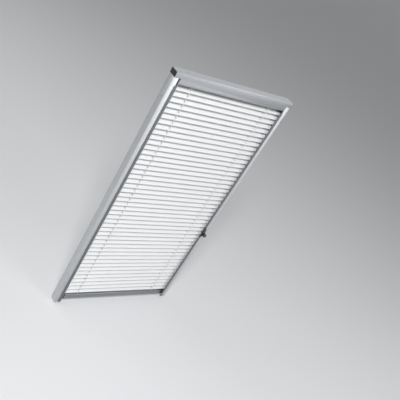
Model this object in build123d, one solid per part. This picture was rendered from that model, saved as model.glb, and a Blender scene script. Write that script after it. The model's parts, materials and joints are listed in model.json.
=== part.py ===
from build123d import *
import os
from math import cos, radians, sin, sqrt

os.makedirs("parts", exist_ok=True)

# Venetian blind for a roof window, fully lowered, with its slats part tilted.
# X runs along the slats, -Y faces the room and +Z runs up the side rails.
# The origin is the middle of the casing's top fixing face, above the line of slat pivots.
# Sizes are in millimetres and angles in degrees.

# Slats: crowned aluminium strip, slotted for the guide cords, with a tongue at each end
slat_count = 46
slat_length = 520.0
slat_width = 25.0
slat_pitch = 21.5
slat_sheet = 0.22
slat_crown = 2.0
crown_below_pivot = 0.65  # share of the crown under the pivot, which balances the slat
first_slat_drop = 10.8  # top slat's pivot below the casing's lower edge
rest_tilt = 38.0  # room-side edge down from level
cord_slot_length = 12.0
cord_slot_width = 3.5
slat_tongue_width = 3.0
slat_tongue_reach = 3.8  # past the end of the strip, into the rail's track

# Cords
cord_side = 1.2  # of the guide cords and the tilt cord, drawn square
cord_gap = 0.3  # between a cord and what it passes
ladder_spacing = 367.0  # between the two ladders, along the slats
ladder_cord = 1.0  # side of the braid's section
ladder_slack = 1.6  # middle of the ladder's upright past the slat's edge, on an open slat
rung_gap = 0.3  # rung under the slat's lower edges
head_gap = 0.1  # ladder's upper ends under the rocker's tips
guide_offset = 3.0  # guide cord beside its ladder, along the slats

# Casing: one extruded channel, open below, with a rounded nose
casing_height = 44.0
casing_wall = 1.2
casing_room = 0.8  # between the swing of the rockers and the casing's walls
nose_radius = 11.0
hood_height = 20.0  # part of the casing that runs on over the rails
casing_gap = 5.5  # end of the casing's lower part to the rail's mouth
fixing_spacing = 450.0
fixing_hole_radius = 2.25

# Tilt shaft with its two rockers and its cord wheel
shaft_drop = 19.5  # shaft's axis below the top face
shaft_square = 6.0
running_gap = 0.08  # radial clearance of each turning fit
press_gap = 0.04  # round the shaft in what is fixed on it, and round a cord in its lug
end_float = 0.5  # along the shaft
rocker_thickness = 6.0
rocker_hub_radius = 5.0
rocker_tip = 1.5  # from a ladder's upper end to the outside of the arm's tip
wheel_radius = 10.0  # to the middle of the tilt cord
wheel_width = 6.0
wheel_flange = 1.4  # past the middle of the tilt cord
wheel_groove = 0.7  # foot of the groove inside the middle of the tilt cord
wheel_room = 0.8  # between a cord wheel and what it turns beside

# Cradles that carry the rockers' hubs
cheek_thickness = 2.0
cheek_foot = 8.0  # half the cheek's width at its foot, and the foot's drop below the shaft
bridge_width = 22.0
leg_width = 6.0
lug_drop = 38.0  # underside of the guide cord's lug below the top face
lug_thickness = 2.0

# Side rails: extruded channel round the slats' ends, with a track for their tongues
rail_width = 19.0
rail_wall = 1.4
rail_overlap = 4.5  # slat's end inside the rail's mouth
rail_cover = 2.5  # rail's faces past the edges of an open slat
rail_tail = 10.5  # rail below the bottom bar
rail_top_gap = 0.3
track_half_width = 3.0
track_rib = 1.0
track_set_back = 5.5  # ribs behind the rail's mouth
mouth_lip = 0.6
rail_hole_radius = 2.1
rail_hole_spacing = 900.0
idler_bolt_radius = 2.0
idler_bolt_head = 3.5  # to the corners of the hexagon
idler_head_thickness = 0.8

# Dark trims stuck along the rails' fronts, which hide the slats' ends
trim_width = 11.4
trim_thickness = 1.2
trim_overhang = 8.3  # past the rail's mouth, over the slats' ends
trim_glue = 0.1
trim_top_gap = 0.3  # under the casing's end fitting

# Bottom bar and its end caps
bar_height = 23.5
bar_depth = 25.0
bar_wall = 1.4
bar_corner = 2.5
bar_gap = 3.7  # bar's top below the swing of the lowest slat
grip_depth = 1.6
grip_radius = 20.0
bar_cap_length = 16.7
plug_length = 10.0
plug_gap = 0.15
mouth_gap = 0.3  # between a fitting and the rail's mouth
tongue_length = 9.5  # into the rail
tongue_height = 6.5
stop_side = 4.0
stop_height = 3.0

# Casing end fittings
end_drop = 3.5  # end plate below the casing's lower edge
end_plug_length = 9.0
end_wall = 1.6
end_corner = 2.0
end_bearing = 4.0  # block round the shaft, past its corners
swing_room = 0.6  # end plate's cut-away round the top slat's swing

# Tilt control on the right rail
slider_length = 52.0
slider_drop = 639.5  # slider's top end below the top face
slider_gap = 0.3
slider_face = 1.8  # thickness of the plate before the rail
slider_face_width = 10.0
slider_corner = 0.6
arm_height = 16.0
neck_width = 6.0  # of the slider where it passes through the rail's front
slot_rise = 20.5  # room for the neck to go up in the rail's slot
slot_fall = 7.2
knob_radius = 7.5
knob_thickness = 8.0
knob_neck = 1.8
knob_neck_radius = 4.5
knob_rise = 12.0  # knob's centre above the slider's lower end
knob_offset = 1.5  # knob's centre past the middle of the rail
knob_rim = 1.4  # step down from the knob's raised face, and its height

# Cutting bodies run on past the faces that they open
overcut = 1.0

# Worked out from the sizes above
slat_half = slat_length / 2
pivot_to_edge = slat_crown * crown_below_pivot + slat_sheet
slat_swing = sqrt((slat_width / 2) ** 2 + pivot_to_edge**2)
ladder_half = slat_width / 2 + ladder_slack
rung_drop = pivot_to_edge + rung_gap + ladder_cord / 2
rocker_reach = sqrt((ladder_half + rocker_tip) ** 2 + (rung_drop + rocker_tip) ** 2)
casing_depth = 2 * (rocker_reach + casing_room + casing_wall)
mouth_half = ladder_half + ladder_cord
ladder_x = ladder_spacing / 2
guide_x = ladder_x - guide_offset
rail_inner = slat_half - rail_overlap
rail_outer = rail_inner + rail_width
rail_middle = rail_inner + rail_width / 2
rail_depth = slat_width + 2 * rail_cover
rail_cavity = rail_depth / 2 - rail_wall
casing_half = rail_inner - casing_gap
rail_top = -hood_height - rail_top_gap
top_pivot = -casing_height - first_slat_drop
low_pivot = top_pivot - (slat_count - 1) * slat_pitch
slat_pivots = [top_pivot - i * slat_pitch for i in range(slat_count)]
bar_top = low_pivot - slat_width / 2 - bar_gap
bar_half = rail_inner - mouth_gap - bar_cap_length
rail_bottom = bar_top - bar_height - rail_tail
rail_centre = (rail_top + rail_bottom) / 2
trim_inner = rail_inner - trim_overhang
trim_front = -rail_depth / 2 - trim_glue - trim_thickness
wheel_outer = wheel_radius + wheel_flange
idler_z = rail_bottom + wheel_outer + wheel_room
tongue_top = bar_top - bar_wall
rib_bottom = tongue_top - tongue_height - mouth_gap
rib_top = -shaft_drop - wheel_outer - wheel_room
track_outer = track_half_width + track_rib
cheek_inner = rocker_thickness / 2 + end_float
cheek_outer = cheek_inner + cheek_thickness
cheek_bottom = -shaft_drop - cheek_foot
cord_hole = cord_side + 2 * cord_gap
shaft_corner = shaft_square / sqrt(2)
shaft_bore = shaft_square + 2 * press_gap
slider_bottom = -slider_drop - slider_length
knob_x = rail_middle + knob_offset
knob_z = slider_bottom + knob_rise
arm_bottom, arm_top = knob_z - arm_height / 2, knob_z + arm_height / 2
slider_front = trim_front - slider_gap - slider_face


def tilted(y, z):
    """Place in the blind's section of a point of a slat's own section, at the rest tilt."""
    turn = radians(rest_tilt)
    return y * cos(turn) - z * sin(turn), y * sin(turn) + z * cos(turn)


def along_x(section, start, end):
    """Solid of a section drawn in Y and Z, from one X to another."""
    return extrude(Plane.YZ.offset(start) * section, end - start)


def up_z(section, bottom, top):
    """Solid of a section drawn in X and Y, from one Z to another."""
    return extrude(Plane.XY.offset(bottom) * section, top - bottom)


def round_x(radius, start, end, y=0.0, z=0.0):
    """Round bar or hole along X."""
    return along_x(Pos(y, z) * Circle(radius), start, end)


def block(x, y, z):
    """Block from three pairs of limits."""
    limits = (x, y, z)
    middle = [(low + high) / 2 for low, high in limits]
    return Pos(*middle) * Box(*[abs(high - low) for low, high in limits])


def both_sides(piece):
    """A piece of the right-hand side and its mirror image on the left."""
    return [piece, mirror(piece, Plane.YZ)]


def slat():
    """One slat at its rest tilt, with its pivot on the X axis."""
    half = slat_width / 2
    edge = -slat_crown * crown_below_pivot
    crown = edge + slat_crown
    upper = ThreePointArc((-half, edge), (0, crown), (half, edge))
    under = ThreePointArc(
        (half, edge - slat_sheet), (0, crown - slat_sheet), (-half, edge - slat_sheet)
    )
    ends = [Line(upper @ 1, under @ 0), Line(under @ 1, upper @ 0)]
    reach = slat_half + slat_tongue_reach
    strip = along_x(make_face([upper, under, *ends]), -reach, reach)
    blank = Rectangle(slat_length, slat_width) + Rectangle(2 * reach, slat_tongue_width)
    for x in (-guide_x, guide_x):
        blank -= Pos(x, 0) * Rectangle(cord_slot_width, cord_slot_length)
    return Rot(rest_tilt, 0, 0) * (strip & up_z(blank, -slat_width, slat_width))


def casing_outline():
    """Outside of the casing's section, with its rounded nose towards the room."""
    half = casing_depth / 2
    nose_y, nose_z = nose_radius - half, nose_radius - casing_height
    dip = nose_radius * sin(radians(45))
    nose = ThreePointArc((-half, nose_z), (nose_y - dip, nose_z - dip), (nose_y, -casing_height))
    sides = Polyline(nose @ 1, (half, -casing_height), (half, 0), (-half, 0), nose @ 0)
    return make_face([nose, *sides.edges()])


def top_casing():
    """Extruded casing: open below between two lips, and cut back at its ends over the rails."""
    outline = casing_outline()
    mouth = Pos(0, -casing_height) * Rectangle(2 * mouth_half, 2 * nose_radius)
    section = outline - offset(outline, -casing_wall) - mouth
    casing = along_x(section, -rail_outer, rail_outer)
    across = (-casing_depth, casing_depth)
    under_hood = (-casing_height - overcut, -hood_height)
    casing -= both_sides(block((casing_half, rail_outer + overcut), across, under_hood))
    for x in (-fixing_spacing / 2, fixing_spacing / 2):
        casing -= Pos(x, 0) * Cylinder(fixing_hole_radius, 4 * casing_wall)
    return casing


def casing_end():
    """Right-hand end fitting: plug in the casing, bearing plate and cover over the rail's top."""
    plate_end = rail_inner - mouth_gap
    plug_half = casing_depth / 2 - casing_wall - plug_gap
    plug_start = casing_half - end_plug_length
    plug_top = -casing_wall - plug_gap
    fitting = block(
        (plug_start, rail_outer - plug_gap), (-plug_half, plug_half), (-hood_height, plug_top)
    )
    room_half = wheel_outer + wheel_room
    fitting -= block(
        (plate_end, rail_outer - end_wall),
        (-room_half, room_half),
        (-hood_height - overcut, plug_top - end_wall),
    )
    plate_height = casing_height + end_drop - hood_height
    plate = Pos(0, -hood_height - plate_height / 2) * Rectangle(rail_depth, plate_height)
    plate = chamfer(plate.vertices().group_by(Axis.Y)[0], end_corner)
    fitting += along_x(plate, casing_half + plug_gap, plate_end)
    bearing = shaft_corner + end_bearing
    fitting += block(
        (plug_start, plate_end), (-bearing, bearing), (-shaft_drop - bearing, -shaft_drop)
    )
    fitting -= round_x(shaft_corner + running_gap, 0, rail_outer - end_wall, 0, -shaft_drop)
    return fitting - round_x(slat_swing + swing_room, 0, rail_inner, 0, top_pivot)


def tilt_shaft():
    """Square steel shaft that turns on its corners in the end fittings' round bores."""
    side = Pos(0, -shaft_drop) * Rotation(0, 0, rest_tilt) * Rectangle(shaft_square, shaft_square)
    return along_x(side, mouth_gap - rail_inner, rail_middle + wheel_width / 2)


def rocker_arms(margin=0.0):
    """A rocker's outline, level and centred on the shaft, or a line at a margin outside it."""
    hub, tip = rocker_hub_radius + margin, rocker_tip + margin
    arms = [Pos(side * ladder_half, -rung_drop) * Rectangle(2 * tip, 2 * tip) for side in (-1, 1)]
    return make_hull([edge for face in (Rectangle(2 * hub, 2 * hub), *arms) for edge in face.edges()])


def rocker():
    """Two-armed rocker that carries a ladder, centred on the shaft at its rest tilt."""
    half = rocker_thickness / 2
    piece = along_x(rocker_arms(), -half, half) + round_x(rocker_hub_radius, -cheek_outer, -half)
    piece -= along_x(Rectangle(shaft_bore, shaft_bore), -cheek_outer, half)
    return Rot(rest_tilt, 0, 0) * piece


def cord_wheel():
    """Grooved wheel for the tilt cord, centred on the X axis and not yet bored."""
    half, groove_half = wheel_width / 2, cord_side / 2 + cord_gap
    wheel = round_x(wheel_outer, -half, half)
    ring = Circle(wheel_outer + overcut) - Circle(wheel_radius - wheel_groove)
    return wheel - along_x(ring, -groove_half, groove_half)


def shaft_wheel():
    """Cord wheel on the square end of the shaft."""
    bore = along_x(Rectangle(shaft_bore, shaft_bore), -wheel_width, wheel_width)
    return cord_wheel() - Rot(rest_tilt, 0, 0) * bore


def cradle():
    """Right-hand cradle: a bridge under the casing's top, a bearing cheek and a cord lug."""
    top = -casing_wall - plug_gap
    bridge = block(
        (-cheek_outer, cheek_outer), (-bridge_width / 2, bridge_width / 2), (top - cheek_thickness, top)
    )
    shoulder = bridge_width / 2
    corners = [(-shoulder, top), (shoulder, top), (cheek_foot, cheek_bottom), (-cheek_foot, cheek_bottom)]
    cheek = along_x(make_face(Polyline(*corners, close=True)), -cheek_outer, -cheek_inner)
    cheek -= round_x(rocker_hub_radius + running_gap, -2 * cheek_outer, 0, 0, -shaft_drop)
    across = (-leg_width / 2, leg_width / 2)
    lug_end = -guide_offset + cord_hole / 2 + lug_thickness / 2
    leg = block((-cheek_outer, -cheek_inner), across, (-lug_drop, cheek_bottom))
    lug = block((-cheek_outer, lug_end), across, (-lug_drop, lug_thickness - lug_drop))
    hole_side = cord_side + 2 * press_gap
    hole = Pos(-guide_offset, 0) * Rectangle(hole_side, hole_side)
    lug_top = lug_thickness - lug_drop
    return bridge + cheek + leg + lug - up_z(hole, -lug_drop - overcut, lug_top + overcut)


def rail_section():
    """Right-hand rail's section: a channel open to the slats, with ribs beside the tongues' track."""
    channel = Pos(rail_middle, 0) * Rectangle(rail_width, rail_depth)
    channel -= Pos(rail_middle - rail_wall, 0) * Rectangle(rail_width, 2 * rail_cavity)
    lip = Rectangle(rail_wall, mouth_lip)
    rib_start, rib_end = rail_inner + track_set_back, rail_outer - rail_wall / 2
    rib = Rectangle(rib_end - rib_start, track_rib)
    for side in (-1, 1):
        channel += Pos(rail_inner + rail_wall / 2, side * (rail_cavity - mouth_lip / 2)) * lip
        channel += Pos((rib_start + rib_end) / 2, side * (track_half_width + track_rib / 2)) * rib
    return channel


def side_rail():
    """Right-hand rail without its slot: ribs cut away for the wheels, web drilled for screws."""
    rail = up_z(rail_section(), rail_bottom, rail_top)
    web = rail_outer - rail_wall
    for bottom, top in ((rib_top, rail_top + overcut), (rail_bottom - overcut, rib_bottom)):
        rail -= block((rail_inner, web), (-track_outer, track_outer), (bottom, top))
    for z in (rail_centre - rail_hole_spacing / 2, rail_centre + rail_hole_spacing / 2):
        rail -= round_x(rail_hole_radius, web - overcut, rail_outer + overcut, 0, z)
    return rail


def slider_slot():
    """Slot in the right rail's front for the slider's neck, with room for its travel."""
    half = neck_width / 2 + slider_gap
    through = (-rail_depth / 2 - overcut, -rail_cavity + overcut)
    tall = (arm_bottom - slot_fall, arm_top + slot_rise)
    return block((rail_middle - half, rail_middle + half), through, tall)


def edge_trim():
    """Right-hand trim along the front of the rail, from under the end fitting to the rail's foot."""
    wide = (trim_inner, trim_inner + trim_width)
    tall = (rail_bottom, -casing_height - end_drop - trim_top_gap)
    return block(wide, (trim_front, trim_front + trim_thickness), tall)


def idler_bolt():
    """Bolt fixed in the right rail's web, with its head and its nut each side of the idler."""
    web = rail_outer - rail_wall
    wheel_start, wheel_end = rail_middle - wheel_width / 2, rail_middle + wheel_width / 2
    head_start = wheel_start - end_float - idler_head_thickness
    hexagon = Pos(0, idler_z) * RegularPolygon(idler_bolt_head, 6)
    bolt = round_x(idler_bolt_radius, head_start, web, 0, idler_z)
    bolt += along_x(hexagon, head_start, wheel_start - end_float)
    return bolt + along_x(hexagon, wheel_end + end_float, web)


def bar_section(inset=0.0):
    """The bottom bar's outline with its finger grip, or a sharp-cornered line set inside it."""
    width, height = bar_depth - 2 * inset, bar_height - 2 * inset
    body = Rectangle(width, height) if inset else RectangleRounded(width, height, bar_corner)
    grip = Pos(-bar_depth / 2 - grip_radius + grip_depth, 0) * Circle(grip_radius + inset)
    return Pos(0, bar_top - bar_height / 2) * (body - grip)


def bottom_bar():
    """Hollow extruded bar, punched on top for the guide cords."""
    bar = along_x(bar_section() - bar_section(bar_wall), -bar_half, bar_half)
    for x in (-guide_x, guide_x):
        hole = Pos(x, 0) * Rectangle(cord_hole, cord_hole)
        bar -= up_z(hole, bar_top - 2 * bar_wall, bar_top + overcut)
    return bar


def bar_end():
    """Right-hand cap of the bottom bar, with a plug in the bar and a tongue in the rail's track."""
    cap_end = bar_half + bar_cap_length
    cap = along_x(bar_section(), bar_half, cap_end)
    cap += along_x(bar_section(bar_wall + plug_gap), bar_half - plug_length, bar_half)
    tongue_half = track_half_width - mouth_gap
    tongue = block(
        (cap_end, rail_inner + tongue_length),
        (-tongue_half, tongue_half),
        (tongue_top - tongue_height, tongue_top),
    )
    return cap + tongue


def tilt_slider():
    """Slider in the rail's front chamber, clamped round the tilt cord, with its plate outside."""
    tall = (slider_bottom, -slider_drop)
    body_front, face_back = slider_gap - rail_cavity, slider_front + slider_face
    inner, outer = rail_inner + track_set_back, rail_outer - rail_wall - slider_gap
    body = block((inner, outer), (body_front, -track_outer - slider_gap), tall)
    body -= up_z(
        Pos(rail_middle, -wheel_radius) * Rectangle(cord_hole, cord_hole),
        slider_bottom - overcut,
        overcut - slider_drop,
    )
    neck_limits = (rail_middle - neck_width / 2, rail_middle + neck_width / 2)
    neck = block(neck_limits, (face_back, body_front), (arm_bottom, arm_top))
    face = block((trim_inner, trim_inner + slider_face_width), (slider_front, face_back), tall)
    face = chamfer(face.edges().filter_by(Axis.Y), slider_corner)
    arm = block((trim_inner, knob_x + knob_neck_radius), (slider_front, face_back), (arm_bottom, arm_top))
    return body + neck + face + arm


def tilt_knob():
    """Round finger knob on the slider's arm, with a neck and a raised face."""
    head_end = knob_neck + knob_thickness
    steps = (
        (knob_neck_radius, 0, knob_neck),
        (knob_radius, knob_neck, head_end - knob_rim),
        (knob_radius - knob_rim, head_end - knob_rim, head_end),
    )
    discs = [up_z(Circle(radius), start, end) for radius, start, end in steps]
    return Pos(knob_x, slider_front, knob_z) * Rot(90, 0, 0) * (discs[0] + discs[1:])


def ladder():
    """One braided ladder in the plane X = 0, with a rung under each slat."""
    front_y, front_z = tilted(-ladder_half, -rung_drop)
    back_y, back_z = tilted(ladder_half, -rung_drop)
    foot = bar_top + ladder_cord / 4
    section = []
    for y, z in ((front_y, front_z), (back_y, back_z)):
        head = z - shaft_drop
        section.append(Pos(y, (foot + head) / 2) * Rectangle(ladder_cord, head - foot))
    for pivot in slat_pivots:
        rung = Rot(0, 0, rest_tilt) * Pos(0, -rung_drop) * Rectangle(2 * ladder_half, ladder_cord)
        section.append(Pos(0, pivot) * rung)
    arms = Pos(0, -shaft_drop) * Rot(0, 0, rest_tilt) * rocker_arms(head_gap)
    braid = section[0] + section[1:] - arms
    return along_x(braid, -ladder_cord / 2, ladder_cord / 2)


def guide_cord():
    """Right-hand guide cord, from the cradle's lug through the slats to its stop in the bar."""
    stop_top = bar_top - bar_wall - cord_gap
    stop_bottom = stop_top - stop_height
    cord = up_z(Rectangle(cord_side, cord_side), stop_bottom, lug_thickness - lug_drop)
    return Pos(guide_x, 0, 0) * (cord + up_z(Rectangle(stop_side, stop_side), stop_bottom, stop_top))


def tilt_cord():
    """Endless tilt cord in the right rail, round the shaft's wheel and the idler."""
    middle = (idler_z - shaft_drop) / 2
    loop = SlotCenterToCenter(-shaft_drop - idler_z, 2 * wheel_radius + cord_side, rotation=90)
    loop -= SlotCenterToCenter(-shaft_drop - idler_z, 2 * wheel_radius - cord_side, rotation=90)
    return along_x(Pos(0, middle) * loop, rail_middle - cord_side / 2, rail_middle + cord_side / 2)


def group(*pieces):
    """Separate solids that share one node."""
    return Compound(children=[solid for piece in pieces for solid in piece.solids()])


def main():
    right_rocker = Pos(ladder_x, 0, -shaft_drop) * rocker()
    right_wheel = Pos(rail_middle, 0, -shaft_drop) * shaft_wheel()
    idler = cord_wheel() - round_x(idler_bolt_radius + running_gap, -wheel_width, wheel_width)
    rail = side_rail()
    nodes = {
        "top_casing": top_casing(),
        "casing_ends": group(*both_sides(casing_end())),
        "tilt_shaft": tilt_shaft(),
        "shaft_wheels": group(*both_sides(right_rocker), right_wheel),
        "shaft_cradles": group(*both_sides(Pos(ladder_x, 0, 0) * cradle())),
        "rail_left": mirror(rail, Plane.YZ),
        "rail_right": rail - slider_slot() + idler_bolt(),
        "edge_trims": group(*both_sides(edge_trim())),
        "cord_idler": Pos(rail_middle, 0, idler_z) * idler,
        "bottom_bar": bottom_bar(),
        "bar_ends": group(*both_sides(bar_end())),
        "tilt_slider": tilt_slider(),
        "tilt_knob": tilt_knob(),
        "ladder_cords": group(*both_sides(Pos(ladder_x, 0, 0) * ladder())),
        "inner_cords": group(*both_sides(guide_cord()), tilt_cord()),
    }
    one_slat = slat()
    for number, pivot in enumerate(slat_pivots, 1):
        nodes[f"slat_{number:02d}"] = Pos(0, 0, pivot) * one_slat
    for name, piece in nodes.items():
        export_step(piece, f"parts/{name}.step")


main()
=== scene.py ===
import json
from math import cos, pi, radians, sqrt

import bmesh
import bpy
from mathutils import Matrix, Vector

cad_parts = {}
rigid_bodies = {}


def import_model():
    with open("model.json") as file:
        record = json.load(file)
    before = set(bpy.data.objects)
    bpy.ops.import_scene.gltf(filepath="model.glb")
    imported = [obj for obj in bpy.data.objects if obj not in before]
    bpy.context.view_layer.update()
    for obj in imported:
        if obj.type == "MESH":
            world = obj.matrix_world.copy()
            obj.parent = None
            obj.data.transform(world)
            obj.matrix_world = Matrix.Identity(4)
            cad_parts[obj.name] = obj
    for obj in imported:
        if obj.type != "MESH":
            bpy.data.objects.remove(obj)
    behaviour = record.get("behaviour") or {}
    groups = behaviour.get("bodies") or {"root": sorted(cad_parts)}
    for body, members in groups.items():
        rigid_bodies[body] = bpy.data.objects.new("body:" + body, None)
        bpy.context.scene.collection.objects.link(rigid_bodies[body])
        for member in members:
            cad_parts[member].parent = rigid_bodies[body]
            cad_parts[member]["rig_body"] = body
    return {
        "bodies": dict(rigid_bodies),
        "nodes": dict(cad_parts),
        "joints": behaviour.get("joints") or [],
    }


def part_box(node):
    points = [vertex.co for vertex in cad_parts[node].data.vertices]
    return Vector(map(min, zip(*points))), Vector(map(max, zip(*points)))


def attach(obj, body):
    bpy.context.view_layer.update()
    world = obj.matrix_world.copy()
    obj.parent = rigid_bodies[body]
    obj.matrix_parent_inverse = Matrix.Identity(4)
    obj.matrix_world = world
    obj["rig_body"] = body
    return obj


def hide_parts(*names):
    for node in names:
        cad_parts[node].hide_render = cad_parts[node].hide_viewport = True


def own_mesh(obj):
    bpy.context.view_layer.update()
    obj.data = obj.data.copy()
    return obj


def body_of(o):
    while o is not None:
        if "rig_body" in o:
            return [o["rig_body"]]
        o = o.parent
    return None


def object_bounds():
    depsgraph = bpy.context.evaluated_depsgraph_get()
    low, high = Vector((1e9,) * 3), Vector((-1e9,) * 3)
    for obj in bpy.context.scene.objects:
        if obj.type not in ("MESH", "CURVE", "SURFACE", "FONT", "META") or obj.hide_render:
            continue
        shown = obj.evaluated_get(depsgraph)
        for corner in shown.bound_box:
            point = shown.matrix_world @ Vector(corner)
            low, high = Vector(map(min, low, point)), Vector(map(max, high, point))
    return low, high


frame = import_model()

cad_box = [list(corner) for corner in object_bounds()]

# The slats
# Aluminium strip 0.22 mm thick, rolled to a crown, cut with a tongue at each end and a slot for each
# guide cord, and stove enamelled white on both sides. The enamel is satin, with a faint orange peel.
pivots = {joint["child"]: Vector(joint["pos_m"]) for joint in frame["joints"] if "pos_m" in joint}
slats = sorted(body for body in frame["bodies"] if body.startswith("slat_"))
rest_tilt = radians(38)
slat_length = 0.520
slat_width = 0.025
slat_sheet = 0.00022
slat_crown = 0.0020
edge_below_pivot = 0.0013
crown_rows = (0.0072, 0.0092, 0.011, 0.0121)  # from the slat's middle, where its mesh follows the crown
tongue_width = 0.003
tongue_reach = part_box(slats[0])[1].x - slat_length / 2
tongue_tip = 0.0008  # length of the tongue's narrowed end
tip_share = 0.5
guide_x = 0.1805
slot_length = 0.012
slot_width = 0.0035
slot_end_shares = (-1, -0.7, 0, 0.7, 1)  # of the half width, where a slot's round end has its corners
sheet_corner = radians(40)  # edges that turn more than this are shaded sharp, as cut sheet is
touching = 1e-6  # points nearer than this count as one
enamel_white = "#E6E7E8"
enamel_shade = "#E1E2E3"


def linear(colour):
    """RGBA for a shader from an sRGB colour written #RRGGBB."""
    shares = [int(colour[i:i + 2], 16) / 255 for i in (1, 3, 5)]
    return [s / 12.92 if s <= 0.04045 else ((s + 0.055) / 1.055) ** 2.4 for s in shares] + [1]


def add_node(material, kind, inputs, **settings):
    """Adds a node to a material, with its settings, and with a value or a link for each input."""
    node = material.node_tree.nodes.new(kind)
    for name, value in settings.items():
        setattr(node, name, value)
    sockets = {socket.identifier: socket for socket in node.inputs}
    for name, value in inputs.items():
        if isinstance(value, bpy.types.NodeSocket):
            material.node_tree.links.new(value, sockets[name])
        else:
            sockets[name].default_value = value
    return node


def mixed(material, share, colour, other):
    """The colour between two sRGB colours, by a pattern's share."""
    node = add_node(material, "ShaderNodeMix", {
        "Factor_Float": share, "A_Color": linear(colour), "B_Color": linear(other),
    }, data_type="RGBA")
    return next(socket for socket in node.outputs if socket.identifier == "Result_Color")


def new_material(name):
    """An empty material, its Object coordinates and its shader, which is wired to the output."""
    material = bpy.data.materials.new(name)
    material.use_nodes = True
    material.node_tree.nodes.clear()
    place = add_node(material, "ShaderNodeTexCoord", {}).outputs["Object"]
    shader = add_node(material, "ShaderNodeBsdfPrincipled", {})
    add_node(material, "ShaderNodeOutputMaterial", {"Surface": shader.outputs["BSDF"]})
    return material, place, shader


def stove_enamel():
    """Satin white enamel: brightest where it faces the light, with a peel too fine to see from far."""
    peel = 0.0012
    cloud = 0.06
    material, place, shader = new_material("stove_enamel_white")
    clouds = add_node(material, "ShaderNodeTexNoise", {"Vector": place, "Scale": 1 / cloud, "Detail": 3})
    tint = mixed(material, clouds.outputs["Fac"], enamel_white, enamel_shade)
    bumps = add_node(material, "ShaderNodeTexNoise", {"Vector": place, "Scale": 1 / peel, "Detail": 1})
    relief = add_node(material, "ShaderNodeBump", {
        "Height": bumps.outputs["Fac"], "Strength": 0.15, "Distance": 0.00003,
    })
    material.node_tree.links.new(tint, shader.inputs["Base Color"])
    material.node_tree.links.new(relief.outputs["Normal"], shader.inputs["Normal"])
    shader.inputs["Roughness"].default_value = 0.38
    shader.inputs["IOR"].default_value = 1.5
    return material


def add_piece(name, shape, material, body):
    """Makes a piece from a bmesh, with its finish, and lets it ride on its body."""
    mesh = bpy.data.meshes.new(name)
    shape.to_mesh(mesh)
    shape.free()
    mesh.polygons.foreach_set("use_smooth", [True] * len(mesh.polygons))
    mesh.materials.append(material)
    piece = bpy.data.objects.new(name, mesh)
    bpy.context.scene.collection.objects.link(piece)
    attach(piece, body)
    return piece


def cut(shape, axis, *places):
    """Cuts a bmesh across at each place along an axis, and keeps both sides."""
    for place in places:
        normal = Vector([float(i == axis) for i in range(3)])
        everything = shape.verts[:] + shape.edges[:] + shape.faces[:]
        bmesh.ops.bisect_plane(shape, geom=everything, dist=1e-7, plane_co=normal * place, plane_no=normal)


def slat_shape():
    """One slat, level, with its pivot on the X axis."""
    half_length, half_width = slat_length / 2, slat_width / 2
    round_end = slot_width / 2
    straight = slot_length / 2 - round_end
    shape = bmesh.new()
    bmesh.ops.create_grid(shape, x_segments=1, y_segments=1, size=1)
    bmesh.ops.scale(shape, vec=(half_length, half_width, 1), verts=shape.verts)
    cut(shape, 0, *[side * guide_x + share * round_end for side in (-1, 1) for share in slot_end_shares])
    rows = (tongue_width / 2, straight, *crown_rows)
    cut(shape, 1, 0, *[side * row for side in (-1, 1) for row in rows])
    holes = [
        face for face in shape.faces
        if abs(abs(face.calc_center_median().x) - guide_x) < round_end
        and abs(face.calc_center_median().y) < straight
    ]
    bmesh.ops.delete(shape, geom=holes, context="FACES")
    for vert in shape.verts:
        across = abs(abs(vert.co.x) - guide_x)
        if across < round_end - touching and abs(abs(vert.co.y) - straight) < touching:
            vert.co.y += (1 if vert.co.y > 0 else -1) * sqrt(round_end**2 - across**2)
    for side in (-1, 1):
        root = [
            edge for edge in shape.edges
            if all(abs(v.co.x - side * half_length) < touching
                   and abs(v.co.y) < tongue_width / 2 + touching for v in edge.verts)
        ]
        for reach, narrow in ((tongue_reach - tongue_tip, 1), (tongue_tip, tip_share)):
            grown = bmesh.ops.extrude_edge_only(shape, edges=root)["geom"]
            tip = [item for item in grown if isinstance(item, bmesh.types.BMVert)]
            bmesh.ops.translate(shape, vec=(side * reach, 0, 0), verts=tip)
            bmesh.ops.scale(shape, vec=(1, narrow, 1), verts=tip)
            root = [item for item in grown if isinstance(item, bmesh.types.BMEdge)
                    and all(v in tip for v in item.verts)]
    radius = (half_width**2 + slat_crown**2) / (2 * slat_crown)
    for vert in shape.verts:
        vert.co.z = slat_crown - edge_below_pivot - radius + sqrt(radius**2 - vert.co.y**2)
    bmesh.ops.recalc_face_normals(shape, faces=shape.faces)
    if sum(face.normal.z for face in shape.faces) < 0:
        bmesh.ops.reverse_faces(shape, faces=shape.faces)
    bmesh.ops.solidify(shape, geom=shape.faces[:], thickness=slat_sheet)
    return shape


def at_slat(shape, slat):
    """Moves a level shape to a slat's pivot and turns it to the tilt at rest."""
    bmesh.ops.transform(shape, matrix=Matrix.Rotation(rest_tilt, 4, "X"), verts=shape.verts)
    bmesh.ops.translate(shape, vec=pivots[slat], verts=shape.verts)
    return shape


enamel = stove_enamel()
for slat in slats:
    piece = add_piece(slat + "_strip", at_slat(slat_shape(), slat), enamel, slat)
    piece.data.set_sharp_from_angle(angle=sheet_corner)
    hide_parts(slat)

# The ladders' rungs
# Two thin polyester threads under each slat at each ladder, woven into the uprights at both ends.
# The slat lies loose on them, and they turn with it.
rung_thread = 0.00028
rung_spread = 0.0011
rung_bends = (-0.5, -0.35, -0.18, 0, 0.18, 0.35, 0.5)  # shares of the slat's width
ladder_x = 0.1835
ladder_half = 0.0141
rung_drop = 0.0018
rung_sag = 0.0004
cord_white = "#E9E9E6"
# painted shade for the braid's grooves
cord_groove_painted_shade = "#BDBDB9"


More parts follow.
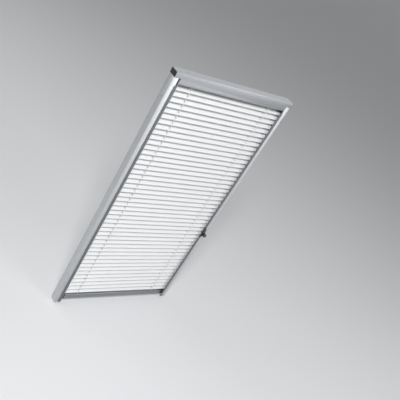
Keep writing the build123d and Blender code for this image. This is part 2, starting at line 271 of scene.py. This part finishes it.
def braided_polyester():
    """White polyester braid: dull, soft at the edge, with painted shade in the strands' slanting grooves.
    """
    strand = 0.0007
    strands_apart = 4
    material, place, shader = new_material("braided_polyester_white")
    # Diagonal bands at a scale of 1 repeat every 2 pi / 10 of x + y + z.
    groove = add_node(material, "ShaderNodeTexWave", {
        "Vector": place, "Scale": 2 * pi / 10 / (strands_apart * strand), "Distortion": 1.5, "Detail": 1,
    }, wave_type="BANDS", bands_direction="DIAGONAL")
    # The grooves are painted darker, as shade; the braid itself is white.
    tint = mixed(material, groove.outputs["Fac"], cord_groove_painted_shade, cord_white)
    relief = add_node(material, "ShaderNodeBump", {
        "Height": groove.outputs["Fac"], "Strength": 0.6, "Distance": 0.00012,
    })
    material.node_tree.links.new(tint, shader.inputs["Base Color"])
    material.node_tree.links.new(relief.outputs["Normal"], shader.inputs["Normal"])
    shader.inputs["Roughness"].default_value = 0.85
    shader.inputs["Sheen Weight"].default_value = 0.3
    return material


def rungs():
    """The threads under one level slat, at both ladders."""
    shape = bmesh.new()
    for x in (-ladder_x, ladder_x):
        for offset in (-rung_spread, rung_spread):
            lay = Matrix.Translation((x + offset, 0, 0)) @ Matrix.Rotation(pi / 2, 4, "X")
            bmesh.ops.create_cone(
                shape, cap_ends=True, segments=8, radius1=rung_thread, radius2=rung_thread,
                depth=2 * ladder_half, matrix=lay,
            )
    cut(shape, 1, *[share * slat_width for share in rung_bends])
    for vert in shape.verts:
        share = min(1, abs(vert.co.y) / (slat_width / 2))
        vert.co.z -= rung_drop + rung_sag * (1 - share**2)
    return shape


braid = braided_polyester()
for slat in slats:
    add_piece(slat + "_rungs", at_slat(rungs(), slat), braid, slat)

# The ladders' uprights
# Flat polyester braid, one before and one behind the slats at each ladder, hung from the rockers'
# tips down to just above the bottom bar. Each thickens where the rungs' threads are woven in.
upright_wide = 0.0008
upright_thick = 0.00042
upright_top_gap = 0.0002
knot_share = 1.35
knot_half = 0.0016
ladder_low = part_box("ladder_cords")[0]
room_keep = 0.33
window_keep = 0.39  # more than in front


def drawn_to(shape, cap, height):
    """Extrudes a level end face to a height, without leaving a wall inside, and gives the new end."""
    grown = bmesh.ops.extrude_face_region(shape, geom=cap)["geom"]
    ring = [item for item in grown if isinstance(item, bmesh.types.BMVert)]
    bmesh.ops.translate(shape, vec=(0, 0, height - ring[0].co.z), verts=ring)
    bmesh.ops.delete(shape, geom=cap, context="FACES_ONLY")
    return [item for item in grown if isinstance(item, bmesh.types.BMFace)]


def upright(side):
    """Both ladders' uprights on one side of the slats: -1 for the front and 1 for the back."""
    turn = Matrix.Rotation(rest_tilt, 3, "X")
    end = turn @ Vector((0, side * ladder_half, -rung_drop))
    top = pivots["shaft"].z + end.z - upright_top_gap
    joints = [pivots[slat].z + end.z for slat in slats]
    rows = sorted([z + step * knot_half for z in joints for step in (-1, 0, 1)])
    shape = bmesh.new()
    for x in (-ladder_x, ladder_x):
        ring = bmesh.ops.create_circle(
            shape, cap_ends=True, segments=10, radius=1, matrix=Matrix.Translation((x, end.y, ladder_low.z))
        )["verts"]
        centre = Vector((x, end.y, 0))
        bmesh.ops.scale(shape, vec=(upright_wide, upright_thick, 1), verts=ring,
                        space=Matrix.Translation(-centre))
        cap = [face for face in shape.faces if all(v in ring for v in face.verts)]
        for z in rows + [top]:
            cap = drawn_to(shape, cap, z)
    bmesh.ops.recalc_face_normals(shape, faces=shape.faces)
    for vert in shape.verts:
        near = min(abs(vert.co.z - z) for z in joints)
        if near < knot_half / 2:
            for axis, centre in ((0, ladder_x * (1 if vert.co.x > 0 else -1)), (1, end.y)):
                vert.co[axis] = centre + (vert.co[axis] - centre) * knot_share
    return shape


for name, side, keep in (("ladder_room_side", -1, room_keep), ("ladder_window_side", 1, window_keep)):
    piece = add_piece(name, upright(side), braid, "frame")
    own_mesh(piece)
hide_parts("ladder_cords")

# The guide cords
# Round polyester braid, one through each row of slots, tied above in its cradle's lug and knotted
# under the bottom bar's top. The knots sit inside the bar.
cord_radius = 0.0006
knot_radius = 0.0018
knot_drop = 0.006
lug_thickness = 0.002
guide_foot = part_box("bottom_bar")[1].z - knot_drop
guide_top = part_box("shaft_cradles")[0].z + lug_thickness


def cord_end(shape, centre):
    """A level end face of a round cord, about a centre."""
    ring = bmesh.ops.create_circle(
        shape, cap_ends=True, segments=10, radius=cord_radius, matrix=Matrix.Translation(centre)
    )["verts"]
    return [face for face in shape.faces if all(v in ring for v in face.verts)]


shape = bmesh.new()
for x in (-guide_x, guide_x):
    drawn_to(shape, cord_end(shape, (x, 0, guide_foot)), guide_top)
    knot_centre = (x, 0, guide_foot + knot_radius / 2)
    bmesh.ops.create_icosphere(
        shape, subdivisions=2, radius=knot_radius, matrix=Matrix.Translation(knot_centre)
    )
bmesh.ops.recalc_face_normals(shape, faces=shape.faces)
guide_cords = add_piece("guide_cords", shape, braid, "frame")
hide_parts("inner_cords")

# The tilt cord
# One endless round braid in the right rail, round the shaft's wheel above and the idler below. Its
# front run is clamped in the slider, and the other run comes up behind the slats' track.
wheel_radius = 0.010
wheel_steps = 16
shaft_axis = pivots["shaft"]
idler_axis = pivots["idler"]
shape = bmesh.new()
end = cord_end(shape, (idler_axis.x, -wheel_radius, shaft_axis.z))
for height, turned_about in ((idler_axis.z, idler_axis), (shaft_axis.z, shaft_axis)):
    grown = bmesh.ops.spin(
        shape, geom=drawn_to(shape, end, height), cent=turned_about, axis=(1, 0, 0), angle=pi,
        steps=wheel_steps, use_merge=False,
    )["geom_last"]
    end = [item for item in grown if isinstance(item, bmesh.types.BMFace)]
# The end faces left between the runs and the turns go, and the loop closes on itself.
inner = [face for face in shape.faces if len(face.verts) > 4]
bmesh.ops.delete(shape, geom=inner, context="FACES_ONLY")
bmesh.ops.remove_doubles(shape, verts=shape.verts, dist=touching)
bmesh.ops.recalc_face_normals(shape, faces=shape.faces)
add_piece("tilt_cord", shape, braid, "frame")

# The tilt shaft
# Square bar of zinc-plated steel, drawn, so its faces carry faint lines along it. It runs through
# both rockers and ends in the cord wheel.
steel_grey = "#8E9194"
steel_line = "#7C7F82"


def lined_metal(name, colour, line_colour, spacing, along, roughness):
    """Metal drawn or pressed through a die: faint lines along one axis, which dull and streak it."""
    # The lines are drawn coarser than the real ones, so that they show.
    line_length = 0.5
    material, place, shader = new_material(name)
    stretch = [1 / spacing] * 3
    stretch[along] = 1 / line_length
    lay = add_node(material, "ShaderNodeMapping", {"Vector": place, "Scale": stretch})
    lines = add_node(material, "ShaderNodeTexNoise", {
        "Vector": lay.outputs["Vector"], "Scale": 1, "Detail": 3,
    })
    tint = mixed(material, lines.outputs["Fac"], colour, line_colour)
    relief = add_node(material, "ShaderNodeBump", {
        "Height": lines.outputs["Fac"], "Strength": 0.2, "Distance": 0.00002,
    })
    material.node_tree.links.new(tint, shader.inputs["Base Color"])
    material.node_tree.links.new(relief.outputs["Normal"], shader.inputs["Normal"])
    shader.inputs["Metallic"].default_value = 1
    shader.inputs["Roughness"].default_value = roughness
    return material


def dressed(node, name, material, edge):
    """A piece with a CAD node's own form, merged, its edges softened, that stands for the node."""
    shape = bmesh.new()
    shape.from_mesh(frame["nodes"][node].data)
    bmesh.ops.remove_doubles(shape, verts=shape.verts, dist=touching)
    bmesh.ops.dissolve_limit(shape, angle_limit=radians(1), verts=shape.verts, edges=shape.edges)
    piece = add_piece(name, shape, material, body_of(frame["nodes"][node])[0])
    soft = piece.modifiers.new("soft_edges", "BEVEL")
    soft.width = edge
    soft.segments = 2
    soft.limit_method = "ANGLE"
    soft.angle_limit = radians(32)
    soft.harden_normals = True
    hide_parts(node)


drawn_steel = lined_metal(
    "zinc_plated_steel", steel_grey, steel_line, spacing=0.0004, along=0, roughness=0.35
)
dressed("tilt_shaft", "square_shaft", drawn_steel, edge=0.0003)

# The rockers, the cord wheel, the cradles and the idler
# Injection moulded in white acetal, which is slick and a little waxy. The rockers and the wheel are
# pressed on the shaft, the cradles clip under the casing's top, and the idler turns on its bolt.
acetal_white = "#DADAD6"
acetal_shade = "#D0D0CC"


def moulded_plastic(name, colour, shade, grain, depth, roughness, ior):
    """Injection moulded plastic: even colour, and a fine grain from the etched mould."""
    cloud = 0.02
    material, place, shader = new_material(name)
    clouds = add_node(material, "ShaderNodeTexNoise", {"Vector": place, "Scale": 1 / cloud, "Detail": 2})
    tint = mixed(material, clouds.outputs["Fac"], colour, shade)
    grains = add_node(material, "ShaderNodeTexVoronoi", {"Vector": place, "Scale": 1 / grain})
    relief = add_node(material, "ShaderNodeBump", {
        "Height": grains.outputs["Distance"], "Strength": 0.4, "Distance": depth,
    })
    material.node_tree.links.new(tint, shader.inputs["Base Color"])
    material.node_tree.links.new(relief.outputs["Normal"], shader.inputs["Normal"])
    shader.inputs["Roughness"].default_value = roughness
    shader.inputs["IOR"].default_value = ior
    return material


acetal = moulded_plastic(
    "acetal_white", acetal_white, acetal_shade, grain=0.0006, depth=0.00001, roughness=0.32, ior=1.48
)
dressed("shaft_wheels", "rockers_and_cord_wheel", acetal, edge=0.0003)
dressed("shaft_cradles", "cradles", acetal, edge=0.0003)
dressed("cord_idler", "idler_wheel", acetal, edge=0.0003)

# The top casing
# One aluminium extrusion, open below between two lips, with a rounded nose at the front. It is
# anodised a matt mid grey, darker than the rails' as painted shade, and the die leaves faint lines along
# it.
# darker than the rails' grey, as painted shade on the casing
casing_painted_shade_grey = "#BDBFC2"
casing_painted_shade_line = "#B5B7BA"
casing_finish = lined_metal(
    "anodised_aluminium_casing", casing_painted_shade_grey, casing_painted_shade_line, spacing=0.0007, along=0, roughness=0.42
)
dressed("top_casing", "casing", casing_finish, edge=0.0004)

# The casing's end fittings and the bottom bar's caps
# Moulded in black polyamide with glass fibre. The mould's fine grain breaks up the light, so they
# look dull and nearly black. Each plugs into the end of its extrusion.
polyamide_black = "#17181A"
polyamide_shade = "#1D1E20"
polyamide = moulded_plastic(
    "polyamide_black", polyamide_black, polyamide_shade,
    grain=0.0004, depth=0.00004, roughness=0.5, ior=1.53,
)
dressed("casing_ends", "end_fittings", polyamide, edge=0.0004)
dressed("bar_ends", "bar_caps", polyamide, edge=0.0004)

# The side rails
# Aluminium extrusions, paler than the casing, whose darker grey is painted shade, with a track for the
# slats' tongues between a front and a back chamber. The right one carries the idler's bolt at its foot.
rail_grey = "#CCCED0"
rail_line = "#C4C6C8"
rail_finish = lined_metal(
    "anodised_aluminium_rail", rail_grey, rail_line, spacing=0.0007, along=2, roughness=0.5
)
dressed("rail_left", "left_rail", rail_finish, edge=0.0003)
dressed("rail_right", "right_rail", rail_finish, edge=0.0003)

# The edge trims
# Strips of vinyl along the fronts of the rails, stuck on. Their dark grey is painted shade, for the rails'
# inner sides that lie in shade beside the slats. They cover the gap beside the slats, so no light comes
# round the slats' ends.
trim_painted_shade_grey = "#66686B"
trim_painted_shade_tone = "#616366"
# A dark grey finish that paints in the shade beside the slats.
vinyl = moulded_plastic(
    "trim_painted_shade_dark_grey", trim_painted_shade_grey, trim_painted_shade_tone, grain=0.0005, depth=0.00002, roughness=0.55, ior=1.53
)
dressed("edge_trims", "trims", vinyl, edge=0.0003)

# The bottom bar
# A hollow aluminium extrusion with a finger grip along its front, anodised darker than the rails
# and punched on top for the guide cords.
bar_grey = "#94979A"
bar_line = "#8D9093"
bar_finish = lined_metal(
    "anodised_aluminium_bar", bar_grey, bar_line, spacing=0.0007, along=0, roughness=0.42
)
dressed("bottom_bar", "bar", bar_finish, edge=0.0003)

# The tilt slider
# Moulded in the same black polyamide. Its body runs in the right rail's front chamber and is clamped
# round the tilt cord. Its neck comes out through a slot to the face and the arm for the knob.
dressed("tilt_slider", "slider", polyamide, edge=0.0004)

# The tilt knob
# Turned form moulded in dark grey polyamide, with flutes round its rim for the fingers and a shallow
# dish in its face. It is pressed on the slider's arm.
knob_grey = "#46484B"
knob_shade = "#3F4144"
flutes = 24
flute_depth = 0.0004
flute_start = 0.95  # share of the knob's radius
knob_low, knob_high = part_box("tilt_knob")
knob_radius = (knob_high.x - knob_low.x) / 2
knob_centre = Vector(((knob_low.x + knob_high.x) / 2, 0, (knob_low.z + knob_high.z) / 2))
knob_back, knob_front = knob_high.y, knob_low.y
# Shares of the knob's radius and of its thickness, from its neck out to its rim and in over its face
knob_outline = [
    (0.6, 0), (0.6, 0.17), (0.9, 0.18), (0.97, 0.21), (1, 0.28), (1, 0.55), (1, 0.84), (0.97, 0.92),
    (0.89, 0.98), (0.8, 1), (0.7, 0.985), (0.45, 0.95), (0.2, 0.935), (0.0, 0.93),
]
knob_finish = moulded_plastic(
    "polyamide_dark_grey", knob_grey, knob_shade, grain=0.0004, depth=0.00003, roughness=0.45, ior=1.53
)
shape = bmesh.new()
line = [shape.verts.new((share * knob_radius, knob_back + deep * (knob_front - knob_back), 0))
        for share, deep in knob_outline]
edges = [shape.edges.new(pair) for pair in zip(line, line[1:])]
bmesh.ops.spin(
    shape, geom=line + edges, cent=(0, 0, 0), axis=(0, 1, 0), angle=2 * pi, steps=4 * flutes,
    use_merge=True,
)
bmesh.ops.remove_doubles(shape, verts=shape.verts, dist=touching)
bmesh.ops.holes_fill(shape, edges=[edge for edge in shape.edges if edge.is_boundary], sides=0)
bmesh.ops.recalc_face_normals(shape, faces=shape.faces)
for vert in shape.verts:
    out = Vector((vert.co.x, 0, vert.co.z))
    if out.length > flute_start * knob_radius:
        angle = Vector((1, 0)).angle_signed(Vector((vert.co.x, vert.co.z)))
        out *= 1 - flute_depth / knob_radius * (0.5 - 0.5 * cos(flutes * angle))
        vert.co.x, vert.co.z = out.x, out.z
bmesh.ops.translate(shape, vec=knob_centre, verts=shape.verts)
knob = add_piece("knob", shape, knob_finish, "tilt_control")
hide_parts("tilt_knob")

# The floor, the light and the camera
# A pale floor below the blind, a key light from above in front, weaker soft light from above behind
# and nearly level in front, and the camera as it stood to the blind, which slopes when in use.
floor_pale = "#E2E3E5"
backdrop = "#E6E7E9"
floor_drop = 0.012
floor_half = 80
floor_glow = 0.16
surround_fill = 0.1
mesh = bpy.data.meshes.new("floor")
shape = bmesh.new()
bmesh.ops.create_grid(shape, x_segments=1, y_segments=1, size=floor_half)
bmesh.ops.translate(shape, vec=(0, 0, cad_box[0][2] - floor_drop), verts=shape.verts)
shape.to_mesh(mesh)
shape.free()
floor = bpy.data.objects.new("floor", mesh)
bpy.context.scene.collection.objects.link(floor)
floor_finish, _, shader = new_material("pale_floor")
shader.inputs["Base Color"].default_value = linear(floor_pale)
shader.inputs["Roughness"].default_value = 0.9
shader.inputs["Emission Color"].default_value = linear(floor_pale)
shader.inputs["Emission Strength"].default_value = floor_glow
mesh.materials.append(floor_finish)

blind_middle = Vector((0, 0, (cad_box[0][2] + cad_box[1][2]) / 2))


def add_light(name, way, distance, size, power):
    """A square soft light that shines on the middle of the blind from one way."""
    light = bpy.data.lights.new(name, "AREA")
    light.size = size
    light.energy = power
    lamp = bpy.data.objects.new(name, light)
    lamp.location = blind_middle + Vector(way).normalized() * distance
    lamp.rotation_euler = (-Vector(way)).to_track_quat("-Z", "Y").to_euler()
    bpy.context.scene.collection.objects.link(lamp)


add_light("key_light", way=(-0.5, -0.5, 0.7), distance=4, size=1.0, power=126)
add_light("back_light", way=(-0.5, 0.6, 0.62), distance=4, size=3, power=30)
add_light("front_light", way=(0.4, -0.85, 0.2), distance=4, size=1.6, power=46)

world = bpy.data.worlds.new("pale_surround")
world.use_nodes = True
world.node_tree.nodes.clear()
ray = add_node(world, "ShaderNodeLightPath", {})
seen = add_node(world, "ShaderNodeBackground", {"Color": linear(backdrop), "Strength": 1.0})
unseen = add_node(world, "ShaderNodeBackground", {"Color": linear(backdrop), "Strength": surround_fill})
share = add_node(world, "ShaderNodeMath", {
    "Value": ray.outputs["Is Camera Ray"], "Value_001": ray.outputs["Is Glossy Ray"],
}, operation="MAXIMUM")
both = add_node(world, "ShaderNodeMixShader", {
    "Fac": share.outputs["Value"], "Shader": unseen.outputs["Background"],
    "Shader_001": seen.outputs["Background"],
})
add_node(world, "ShaderNodeOutputWorld", {"Surface": both.outputs["Shader"]})
bpy.context.scene.world = world

camera_place = (-1.3318, -1.3380, 0.5592)
camera_right = Vector((0.75370, -0.45448, 0.47475))
camera_up = Vector((-0.06662, 0.66580, 0.74315))
camera_back = camera_right.cross(camera_up)
camera_data = bpy.data.cameras.new("camera")
camera_data.lens = 50.9
camera_data.sensor_width = 36
camera_data.clip_start = 0.05
camera_data.clip_end = 200
camera = bpy.data.objects.new("camera", camera_data)
camera_turn = Matrix((camera_right, camera_up, camera_back)).transposed().to_4x4()
camera.matrix_world = Matrix.Translation(camera_place) @ camera_turn
bpy.context.scene.collection.objects.link(camera)
bpy.context.scene.camera = camera
bpy.context.scene.view_settings.view_transform = "Standard"
